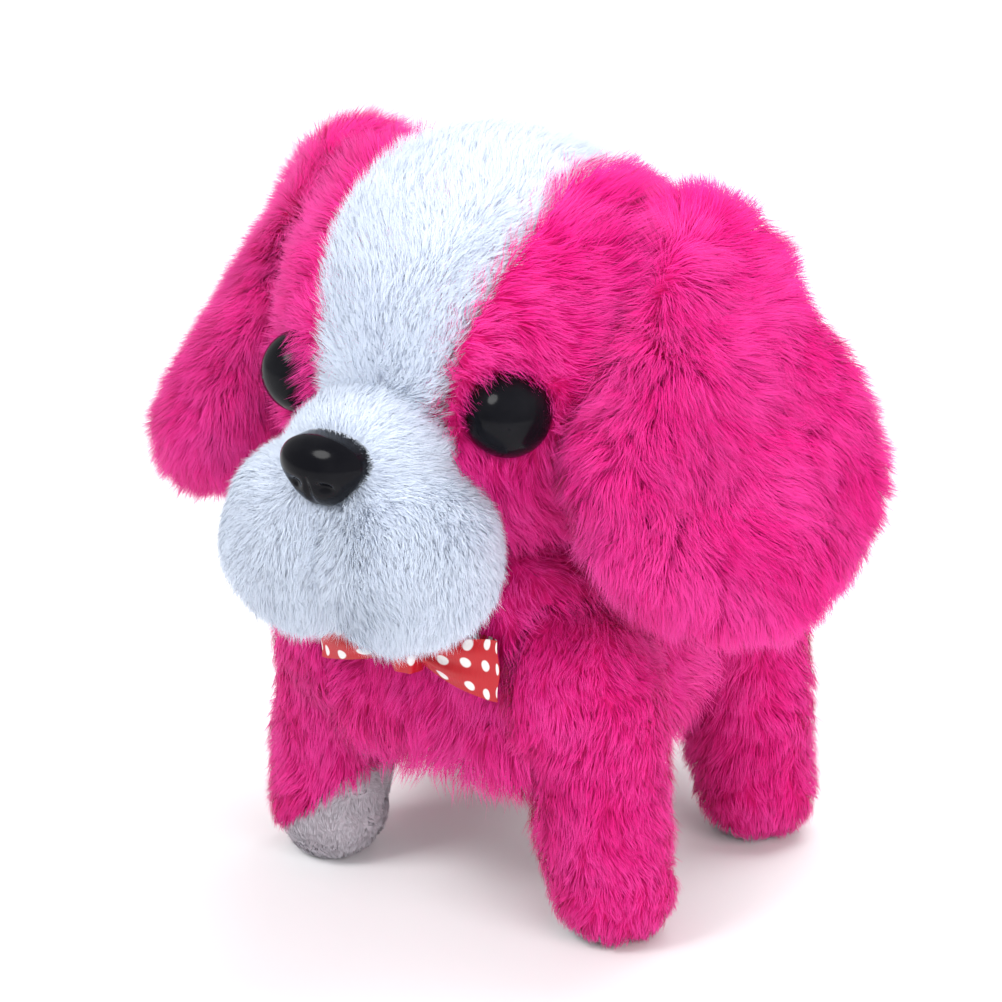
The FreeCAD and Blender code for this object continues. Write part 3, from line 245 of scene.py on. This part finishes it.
def soft_skin(name, node, finish, voxel=1.4, rounds=6, puff=0.6, seed=1):
    """A stuffed skin in the space of a CAD solid: remeshed, relaxed and slightly uneven."""
    made = new_object(name, frame["nodes"][node].data.copy())
    made.data.materials.clear()
    remesh = made.modifiers.new("remesh", "REMESH")
    remesh.mode = "VOXEL"
    remesh.voxel_size = voxel * MM
    relax = made.modifiers.new("relax", "SMOOTH")
    relax.iterations = rounds
    relax.factor = 0.5
    apply_modifiers(made)
    points, _, normals = arrays(made)
    points += normals * (ripple(points, LUMP_LENGTH, seed) * puff * MM)[:, None]
    points[:, 2] = np.maximum(points[:, 2], 0)
    made.data.vertices.foreach_set("co", points.ravel())
    made.data.materials.append(finish)
    made.data.polygons.foreach_set("use_smooth", np.ones(len(made.data.polygons), dtype=bool))
    # The skins take tones low on the ramp: the darker root colours, as painted shade under the pile,
    # varied by a random mottle.
    tone = made.data.attributes.new("tone", "FLOAT", "POINT")
    tone.data.foreach_set("value", 0.25 + 0.2 * ripple(points, MOTTLE_LENGTH, seed + 1))
    made.data.update()
    return made


def arrays(obj):
    """Vertices, triangles and vertex normals of an object's mesh."""
    mesh = obj.data
    mesh.calc_loop_triangles()
    points = np.empty(len(mesh.vertices) * 3)
    mesh.vertices.foreach_get("co", points)
    faces = np.empty(len(mesh.loop_triangles) * 3, dtype=np.int32)
    mesh.loop_triangles.foreach_get("vertices", faces)
    normals = np.empty(len(mesh.vertices) * 3)
    mesh.vertex_normals.foreach_get("vector", normals)
    return points.reshape(-1, 3), faces.reshape(-1, 3), normals.reshape(-1, 3)


def ripple(points, length, seed):
    """Smooth pseudo-noise from -1 to 1 whose waves are about length mm long."""
    rng = np.random.default_rng(seed)
    total = np.zeros(len(points))
    for _ in range(WAVES):
        wave = rng.normal(size=3)
        wave *= 2 * math.pi / (np.linalg.norm(wave) * length * MM * rng.uniform(0.7, 1.5))
        total += np.sin(points @ wave + rng.uniform(0, 2 * math.pi))
    return np.clip(total / WAVES_SCALE, -1, 1)


def unit(vectors):
    """The vectors at length one."""
    return vectors / np.maximum(np.linalg.norm(vectors, axis=1, keepdims=True), TINY)


# ---------------------------------------------------------------- pile

WIDTH = 0.15
WANDER = 0.6
SWIRL_LENGTH = 15
SHADE_LENGTH = 11
JITTER = 0.24
TWIST = 0.55


def scatter(host, count, rng):
    """Random points on a skin, with their normals."""
    points, faces, normals = arrays(host)
    a, b, c = (points[faces[:, i]] for i in range(3))
    area = np.linalg.norm(np.cross(b - a, c - a), axis=1)
    pick = rng.choice(len(faces), size=count, p=area / area.sum())
    u, v = rng.random((2, count))
    flip = u + v > 1
    u[flip] = 1 - u[flip]
    v[flip] = 1 - v[flip]
    w = 1 - u - v
    share = np.stack((w, u, v), axis=1)
    corners = faces[pick]
    where = sum(points[corners[:, i]] * share[:, i:i + 1] for i in range(3))
    facing = unit(sum(normals[corners[:, i]] * share[:, i:i + 1] for i in range(3)))
    return where, facing


def in_the_open(hosts, where, facing, reach=200):
    """True for roots that no skin covers from above."""
    trees = []
    for host in hosts:
        points, faces, _ = arrays(host)
        trees.append(BVHTree.FromPolygons(points.tolist(), faces.tolist()))
    free = np.ones(len(where), dtype=bool)
    for i, (place, normal) in enumerate(zip(where, facing)):
        start = Vector(place) + Vector(normal) * 0.3 * MM
        for tree in trees:
            if tree.ray_cast(start, Vector(normal), reach * MM)[0] is not None:
                free[i] = False
                break
    return free


def strand_paths(where, facing, comb, length, lie, rng, steps):
    """Points along each strand: out of the skin, then over in the comb's direction."""
    count = len(where)
    side = unit(np.cross(facing, comb))
    swirl = (ripple(where, SWIRL_LENGTH, 71) * WANDER)[:, None]
    heading = unit(comb + side * swirl)
    jitter = rng.normal(scale=JITTER, size=(count, 3))
    levels = [where]
    for step in range(steps):
        along = (step + 0.5) / steps
        lean = (lie * (0.35 + 0.9 * along))[:, None]
        going = unit(facing * (1.15 - lean) + heading * lean + jitter * (0.4 + along))
        levels.append(levels[-1] + going * (length / steps)[:, None])
    return np.stack(levels, axis=1)


def clumped(paths, where, size, strength, rng):
    """Draws strands towards the nearest of some leading strands, one for each size strands."""
    groups = max(8, int(len(where) / size))
    leaders = rng.choice(len(where), size=groups, replace=False)
    tree = KDTree(groups)
    for index, leader in enumerate(leaders):
        tree.insert(Vector(where[leader]), index)
    tree.balance()
    nearest = np.array([leaders[tree.find(Vector(place))[1]] for place in where])
    steps = paths.shape[1]
    pull = (np.linspace(0, 1, steps) ** 1.3)[None, :, None]
    pull = pull * (strength * rng.uniform(0.55, 1.0, len(where)))[:, None, None]
    return paths * (1 - pull) + paths[nearest] * pull, nearest


def per_strand(value, where):
    """A setting for every strand, from one number or from a rule over the roots."""
    return value(where) if callable(value) else np.full(len(where), float(value))


def pile(name, host, finish, count, comb, length, lie=0.75, width=WIDTH, seed=3, cover=(),
         keep=None, floor=None, clump=(12, 0.5), tuft=(200, 0.35), steps=2, soften=0.88):
    """Strands of pile on a skin, each a thin tapered blade, in meshes of a moderate size."""
    rng = np.random.default_rng(seed)
    where, facing = scatter(host, count, rng)
    chosen = in_the_open([host, *cover], where, facing)
    if keep is not None:
        chosen &= keep(where)
    where, facing = where[chosen], facing[chosen]
    aim = comb(where)
    aim = unit(aim - facing * np.sum(aim * facing, axis=1, keepdims=True))
    size = per_strand(length, where) * MM * rng.uniform(0.5, 1.15, len(where))
    paths = strand_paths(where, facing, aim, size, per_strand(lie, where), rng, steps)
    paths, _ = clumped(paths, where, *tuft, rng)
    paths, leader = clumped(paths, where, *clump, rng)
    if floor is not None:
        paths[:, 1:, 2] = np.maximum(paths[:, 1:, 2], floor * MM)
    shade = rng.normal(scale=0.09, size=len(where)) + 0.18 * ripple(where, SHADE_LENGTH, 5)
    shade = 0.5 * shade + 0.5 * shade[leader]
    shares = math.ceil(len(where) / STRANDS_PER_MESH)
    for share in range(shares):
        part = slice(share, None, shares)
        shape = blade_points(paths[part], facing[part], shade[part], width, rng, soften)
        mesh = blade_mesh(f"{name}_{share + 1}", *shape, steps)
        mesh.materials.append(finish)
        new_object(mesh.name, mesh).parent = host


def blade_points(paths, facing, shade, width, rng, soften):
    """Points, tones and soft normals of strands that taper from a flat root to a tip."""
    count, levels = paths.shape[:2]
    steps = levels - 1
    run = unit((paths[:, 1:] - paths[:, :-1]).reshape(-1, 3)).reshape(count, steps, 3)
    twist = rng.normal(scale=TWIST, size=(count, 1))
    across = unit(np.cross(facing, run[:, 0]) + 1e-6)
    across = unit(across * np.cos(twist) + facing * np.sin(twist))
    wide = width * MM * rng.uniform(0.75, 1.25, (count, 1))
    points, tones, softs = [], [], []
    for level in range(levels):
        along = level / steps
        heading = run[:, min(level, steps - 1)]
        plane = unit(np.cross(across, heading))
        plane *= np.sign(np.sum(plane * facing, axis=1, keepdims=True) + TINY)
        soft = unit(facing * soften + plane * (1 - soften) + heading * 0.25)
        half = wide * (0.5 * (1 - 0.75 * along ** 1.6))
        ends = (-half, half) if level < steps else (0 * half,)
        for offset in ends:
            points.append(paths[:, level] + across * offset)
            # The tone rises from root to tip, so the roots take the darker colours as painted shade;
            # the strand's own random tone is added to it.
            tones.append(along + shade)
            softs.append(soft)
    return (np.stack(column, axis=1) for column in (points, tones, softs))


def blade_mesh(name, points, tones, softs, steps):
    """A mesh of strands, each with quads up its length and a triangle at its tip."""
    count, each = points.shape[:2]
    corners = []
    for level in range(steps - 1):
        corners += [2 * level + 1, 2 * level, 2 * level + 2, 2 * level + 3]
    corners += [2 * steps - 1, 2 * steps - 2, 2 * steps]
    sides = [4] * (steps - 1) + [3]
    loops = (np.arange(count)[:, None] * each + np.array(corners)[None, :]).ravel()
    starts = np.concatenate(([0], np.cumsum(sides)[:-1]))
    starts = (np.arange(count)[:, None] * len(corners) + starts[None, :]).ravel()
    mesh = bpy.data.meshes.new(name)
    mesh.vertices.add(count * each)
    mesh.vertices.foreach_set("co", points.ravel())
    mesh.loops.add(len(loops))
    mesh.loops.foreach_set("vertex_index", loops.astype(np.int32))
    mesh.polygons.add(len(starts))
    mesh.polygons.foreach_set("loop_start", starts.astype(np.int32))
    mesh.update(calc_edges=True)
    mesh.polygons.foreach_set("use_smooth", np.ones(len(starts), dtype=bool))
    tone = mesh.attributes.new("tone", "FLOAT", "POINT")
    tone.data.foreach_set("value", np.clip(tones, 0, 1).ravel())
    layout = baking_layout(count, steps)[:, corners]
    mesh.uv_layers.new(name="OFBake").data.foreach_set("uv", layout.ravel())
    mesh.normals_split_custom_set_from_vertices(softs.reshape(-1, 3))
    return mesh


def baking_layout(count, steps):
    """Texture places of every strand's points, with a cell of a square grid for each strand."""
    cells = math.ceil(math.sqrt(count))
    cell = np.stack((np.arange(count) % cells, np.arange(count) // cells), axis=1)
    inside = [(x, 0.15 + 0.7 * level / steps) for level in range(steps) for x in (0.25, 0.75)]
    inside.append((0.5, 0.85))
    return (cell[:, None, :] + np.array(inside)[None, :, :]) / cells


def falling(*, down=1.0, away=None, push=0.0, drift=(0, 0, 0), core=1):
    """A comb that goes down, outward from a point and along a fixed direction."""

    def comb(where):
        aim = np.zeros_like(where) + np.array((0, 0, -down)) + np.array(drift)
        if away is not None:
            offset = where - away
            reach = np.linalg.norm(offset, axis=1, keepdims=True)
            aim = aim + offset / (reach + core * MM) * push
        return aim

    return comb


def low_share(where, top, depth):
    """From 0 at a height to 1 where the roots are depth below it, in millimetres."""
    return np.clip((top * MM - where[:, 2]) / (depth * MM), 0, 1)


def muzzle_comb(where):
    """Away from the nose above it, and outward and down below it."""
    below = low_share(where, NOSE[2] / MM, 10)[:, None]
    return unit(where - NOSE - spot(0, 6, 0)) + below * np.array((0, 0, -0.8))


def muzzle_length(where):
    """Short on the bridge, longer along the lower edge."""
    return 4.0 + 3.2 * low_share(where, 84, 12)


def tail_comb(where):
    """Down over the root and up towards the tip."""
    low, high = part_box("tail_plush")
    rise = (where[:, 2:3] - low[2]) / (high[2] - low[2])
    return np.array((0, 0.3, 1.0)) * np.clip(4 * rise - 1.2, -1, 1) + spot(0, 100, 0)


def body_length(where):
    """Longer along the belly's lower edge."""
    return 8.5 + 1.5 * low_share(where, 52, 14)


def leg_length(where):
    """Shorter towards the sole."""
    return 6.2 - 3.0 * low_share(where, 22, 22)


def dome_of(word, side):
    """Centre and radius of an eye's dome, which fills the front outer part of the eye's box."""
    low, high = (np.array(corner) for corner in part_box(f"eye_{word}"))
    radius = (high[2] - low[2]) / 2
    outer = high[0] - radius if side > 0 else low[0] + radius
    return np.array((outer, low[1] + radius, low[2] + radius)), radius


DOMES = [dome_of(word, side) for word, side in SIDES]
EYE_MARGIN = 5
SEAM_REACH = 14


def clear_of_eyes(where):
    """Keeps roots off the eyes' domes."""
    free = np.ones(len(where), dtype=bool)
    for centre, radius in DOMES:
        free &= np.linalg.norm(where - centre, axis=1) > radius + 0.2 * MM
    return free


def near_seams(where):
    """From 1 at the top of an ear's seam to 0 away from it."""
    near = np.zeros(len(where))
    for word, side in SIDES:
        low, high = (np.array(corner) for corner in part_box(f"ear_{word}"))
        inner = low[0] if side > 0 else high[0]
        seam = np.array((inner + side * 4 * MM, (low[1] + high[1]) / 2, high[2] - 2 * MM))
        away = np.linalg.norm(where - seam, axis=1)
        near = np.maximum(near, np.clip(1.5 - away / (SEAM_REACH * MM), 0, 1))
    return near


def head_lie(where):
    """Pile that stands up around the eyes and over the ears' seams, and lies down elsewhere."""
    lie = np.full(len(where), 0.7)
    for centre, radius in DOMES:
        distance = np.linalg.norm(where - centre, axis=1) - radius
        lie -= 0.4 * np.clip(1.2 - distance / (EYE_MARGIN * MM), 0, 1)
    return np.maximum(lie - 0.4 * near_seams(where), 0.2)


def head_length(where):
    """Short pile on the face, longer over the ears' seams."""
    return 7.5 + 5 * near_seams(where)


def whorl_of(word, side):
    """The point that an ear's pile spreads from, on its outer face below the seam."""
    low, high = (np.array(corner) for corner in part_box(f"ear_{word}"))
    centre = (low + high) / 2
    return np.array((centre[0] - side * 8 * MM, centre[1] - 9 * MM, high[2] - 24 * MM))


def round_eyes(base):
    """A comb that parts around the eyes."""

    def comb(where):
        aim = unit(base(where))
        for centre, radius in DOMES:
            offset = where - centre
            distance = np.linalg.norm(offset, axis=1, keepdims=True) - radius
            near = np.clip(1 - distance / (EYE_MARGIN * MM), 0, 1)
            aim = aim * (1 - 0.6 * near) + unit(offset) * near * 0.5
        return aim

    return comb


# ---------------------------------------------------------------- the dog

skins = {}


def dress(node, body, finish, fill=0.85, **options):
    """Replaces a CAD soft solid with a skin that rides on its body."""
    skin = soft_skin(f"skin_{node}", node, finish, **options)
    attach(skin, body)
    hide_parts(node)
    skins[node] = skin
    return skin


dress("body_plush", "trunk", PINK, voxel=1.6, seed=11)
dress("head_plush", "head", PINK, voxel=1.6, seed=12)
dress("face_blaze", "head", WHITE, voxel=1.2, seed=13, rounds=3, puff=0.2)
dress("muzzle_plush", "head", WHITE, voxel=1.4, seed=14)
dress("tail_plush", "tail", PINK, voxel=1.0, seed=15, rounds=3, puff=0.3)
for word, side in SIDES:
    dress(f"ear_{word}", f"{word}_ear", PINK, voxel=1.6, seed=16, rounds=8, puff=1.0)
for leg in LEGS:
    dress(f"leg_sleeve_{leg}", f"leg_{leg}", PINK, voxel=1.2, seed=17, rounds=4, puff=0.3)
    dress(f"paw_panel_{leg}", f"leg_{leg}", SHORT, voxel=0.9, seed=18, rounds=3, puff=0.1)

pile("pile_head", skins["head_plush"], PINK, 170000,
     round_eyes(falling(down=0.7, away=NOSE, push=0.9)), head_length, seed=21, keep=clear_of_eyes,
     lie=head_lie, cover=[skins["muzzle_plush"]])
pile("pile_blaze", skins["face_blaze"], WHITE, 110000,
     falling(down=0.1, away=NOSE, push=1.0), 5.5, seed=22, lie=0.75, width=0.13,
     clump=(10, 0.3), tuft=(200, 0.2), soften=0.95, cover=[skins["head_plush"]])
pile("pile_muzzle", skins["muzzle_plush"], WHITE, 130000, muzzle_comb, muzzle_length, seed=23,
     lie=0.85, width=0.13, clump=(10, 0.3), tuft=(200, 0.15), soften=0.95,
     cover=[skins["head_plush"]])
pile("pile_body", skins["body_plush"], PINK, 130000,
     falling(down=0.8, drift=(0, 0.4, 0)), body_length, seed=24)
pile("pile_tail", skins["tail_plush"], PINK, 22000, tail_comb, 7.5, seed=25)
for word, side in SIDES:
    pile(f"pile_ear_{word}", skins[f"ear_{word}"], PINK, 120000,
         falling(down=0.7, away=whorl_of(word, side), push=1.2, core=14), 9.5, seed=26, lie=0.7)
for leg in LEGS:
    pile(f"pile_leg_{leg}", skins[f"leg_sleeve_{leg}"], PINK, 40000, falling(down=1.0), leg_length,
         seed=27, lie=0.85, floor=0.5, cover=[skins[f"paw_panel_{leg}"]])
    pile(f"pile_panel_{leg}", skins[f"paw_panel_{leg}"], SHORT, 12000, falling(down=1.0), 1.5,
         seed=28, lie=0.7, width=0.16, floor=0.2, cover=[skins[f"leg_sleeve_{leg}"]])


# ---------------------------------------------------------------- nose and bow

CLOTH_START = 0.1
LOOP_CLOTH = 0.044
LOOP_CLOTH_HALF = 0.0065
LOOP_CLOTH_GAP = 0.03
BAND_CLOTH_HALF = 0.005
BAND_CLOTH = 0.026


def grid_mesh(name, points, rows, columns, wrap=False):
    """Quads over a grid of points given row by row."""
    faces = []
    for row in range(rows - 1):
        for column in range(columns if wrap else columns - 1):
            after = (column + 1) % columns
            faces.append((row * columns + column, row * columns + after,
                          (row + 1) * columns + after, (row + 1) * columns + column))
    mesh = bpy.data.meshes.new(name)
    mesh.from_pydata([tuple(point) for point in points], [], faces)
    mesh.polygons.foreach_set("use_smooth", np.ones(len(mesh.polygons), dtype=bool))
    return mesh


def nose_button():
    """A domed rounded triangle with a dent for each nostril and a groove below."""
    low, high = (np.array(corner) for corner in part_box("nose"))
    half = (high - low) / 2
    around, rings, back = 72, 22, 5
    nostril_out, nostril_down = 0.36, 0.3
    nostril_wide, nostril_tall, nostril_depth = 0.17, 0.14, 0.2
    groove_wide, groove_depth = 0.07, 0.1
    points = []
    for ring in range(rings + back):
        spread = math.sin(min(ring / (rings - 1), 1) * math.pi / 2)
        depth = max(0, ring - rings + 1) / back
        for turn in range(around):
            angle = 2 * math.pi * turn / around
            x, z = math.cos(angle), math.sin(angle)
            narrow = 0.92 + 0.08 * math.tanh(2.2 * (z + 0.35))
            bend = 1 + 0.04 * math.cos(3 * (angle + math.pi / 2))
            u, w = spread * x * narrow * bend, spread * z * bend
            dome = math.sqrt(max(0.0, 1 - 0.95 * spread ** 2))
            for side in (-1, 1):
                off_x = (u - side * nostril_out) / nostril_wide
                off_z = (w + nostril_down) / nostril_tall
                dome -= nostril_depth * math.exp(-off_x ** 2 - off_z ** 2)
            if w < 0:
                dome -= groove_depth * math.exp(-(u / groove_wide) ** 2) * min(1, -w * 3)
            y = low[1] + half[1] * 1.3 * (1 - dome) + depth * half[1] * 0.9
            points.append((NOSE[0] + u * half[0] * 1.08, y, NOSE[2] + w * half[2] * 0.94))
    mesh = grid_mesh("nose_button", points, rings + back, around, wrap=True)
    made = new_object("nose_button", mesh)
    made.data.materials.append(GLOSS)
    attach(made, "head")
    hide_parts("nose")


def ribbon(name, node, mesh, layout):
    """Makes a mesh a piece of ribbon in place of a CAD node; layout is its cloth's places."""
    cloth = mesh.uv_layers.new(name="cloth")
    for loop in mesh.loops:
        cloth.data[loop.index].uv = layout[loop.vertex_index]
    made = new_object(name, mesh)
    made.data.materials.append(RIBBON)
    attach(made, "trunk")
    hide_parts(node)


def bow_wing(word, side):
    """One loop of ribbon: out along the front, round the end and back behind, with pleats."""
    low, high = (np.array(corner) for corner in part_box(f"bow_loop_{word}"))
    start, reach = (low[0], high[0]) if side > 0 else (high[0], low[0])
    height = (low[2] + high[2]) / 2
    depth = (high[1] - low[1]) / 2
    middle_y = (low[1] + high[1]) / 2
    along, across = 60, 22
    knot_half, tip_half = 2.6, 6.2
    points, layout = [], []
    for i in range(along):
        t = i / (along - 1)
        turn = math.pi * (t - 0.5)
        out = math.cos(turn) ** 0.8
        front = math.sin(turn)
        x = start + (reach - start) * (0.02 + 0.96 * out)
        wide = knot_half + (tip_half - knot_half) * min(1, out * 1.1) ** 0.8
        for j in range(across):
            v = 2 * j / (across - 1) - 1
            pleat = 0.55 * math.cos(v * 6.5 + 0.6 * front) * (1 - out) ** 0.6
            swell = front * depth * (0.35 + 0.6 * math.sin(math.pi * min(out, 1) ** 1.2)) * (
                1 - 0.25 * v * v)
            droop = 0.6 * out * out * MM
            points.append((x + side * 0.3 * MM * math.cos(v * 4) * out, middle_y + swell + pleat * MM,
                           height + v * wide * MM - droop))
            layout.append((t * LOOP_CLOTH + CLOTH_START,
                           v * LOOP_CLOTH_HALF + CLOTH_START + LOOP_CLOTH_GAP * side))
    mesh = grid_mesh(f"ribbon_{word}", points, along, across)
    ribbon(mesh.name, f"bow_loop_{word}", mesh, layout)


def bow_knot():
    """The band round the middle, gathered into creases."""
    low, high = (np.array(corner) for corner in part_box("bow_knot"))
    centre, half = (low + high) / 2, (high - low) / 2
    rows, columns = 26, 40
    points, layout = [], []
    for i in range(rows):
        t = 2 * i / (rows - 1) - 1
        waist = 1 - 0.16 * t * t
        for j in range(columns):
            angle = 2 * math.pi * j / columns
            crease = 1 + 0.05 * math.cos(7 * angle)
            x = abs(math.cos(angle)) ** 0.7 * math.copysign(1, math.cos(angle))
            y = abs(math.sin(angle)) ** 0.7 * math.copysign(1, math.sin(angle))
            points.append((centre[0] + half[0] * 0.92 * x * waist * crease,
                           centre[1] + half[1] * 0.92 * y * waist * crease,
                           centre[2] + half[2] * 0.98 * t))
            layout.append((CLOTH_START + t * BAND_CLOTH_HALF,
                           2 * CLOTH_START + BAND_CLOTH * j / columns))
    mesh = grid_mesh("ribbon_knot", points, rows, columns, wrap=True)
    ribbon(mesh.name, "bow_knot", mesh, layout)


nose_button()
for word, side in SIDES:
    bow_wing(word, side)
bow_knot()


# ---------------------------------------------------------------- floor, light and camera

AZIMUTH = math.radians(33.4)
ELEVATION = math.radians(19.5)
DISTANCE = 0.700
AIM = Vector((0, 0, 0.08))
LENS = 127.5
SHIFT = (-0.0439, -0.0319)
FLOOR_SIZE = 60
SKY = (0.97, 0.98, 1.0, 1)
SKY_STRENGTH = 0.62


def stage():
    """A pale floor under an even pale sky."""
    bpy.ops.mesh.primitive_plane_add(size=FLOOR_SIZE)
    floor = bpy.context.object
    floor.name = "floor"
    pale, nodes, links, shader = material("pale_floor", (0.9, 0.9, 0.91), 0.9)
    texture = noise_texture(nodes, links, 3)
    colours = ramp(nodes, links, texture.outputs["Fac"],
                   [(0.3, (0.885, 0.885, 0.895)), (0.7, (0.905, 0.905, 0.91))])
    links.new(colours.outputs["Color"], shader.inputs["Base Color"])
    floor.data.materials.append(pale)
    world = bpy.data.worlds.new("studio")
    world.use_nodes = True
    sky = world.node_tree.nodes["Background"]
    sky.inputs["Color"].default_value = SKY
    sky.inputs["Strength"].default_value = SKY_STRENGTH
    bpy.context.scene.world = world


def lamp(name, place, width, power, mirrored=False):
    """A round soft lamp that faces the dog."""
    light = bpy.data.lights.new(name, "AREA")
    light.shape = "DISK"
    light.size = width
    light.energy = power
    made = bpy.data.objects.new(name, light)
    made.location = place
    made.rotation_euler = (AIM - Vector(place)).to_track_quat("-Z", "Y").to_euler()
    made.visible_glossy = mirrored
    bpy.context.scene.collection.objects.link(made)


def aim_camera():
    """A long lens to the left of the dog's face and a little above it."""
    data = bpy.data.cameras.new("camera")
    data.lens = LENS
    data.sensor_width = 36
    data.shift_x, data.shift_y = SHIFT
    data.clip_start = 0.01
    made = bpy.data.objects.new("camera", data)
    flat = math.cos(ELEVATION)
    away = Vector((math.sin(AZIMUTH) * flat, -math.cos(AZIMUTH) * flat, math.sin(ELEVATION)))
    made.location = AIM + away * DISTANCE
    made.rotation_euler = (-away).to_track_quat("-Z", "Y").to_euler()
    bpy.context.scene.collection.objects.link(made)
    bpy.context.scene.camera = made


bpy.context.scene.view_settings.view_transform = "Standard"
stage()
lamp("key", (-0.35, -0.75, 0.95), 0.5, 8, mirrored=True)
lamp("fill", (0.95, -0.4, 0.5), 0.9, 7)
lamp("top", (0.15, 0.35, 1.1), 0.8, 8)
lamp("back", (-0.4, 1.1, 0.35), 0.9, 4)
aim_camera()
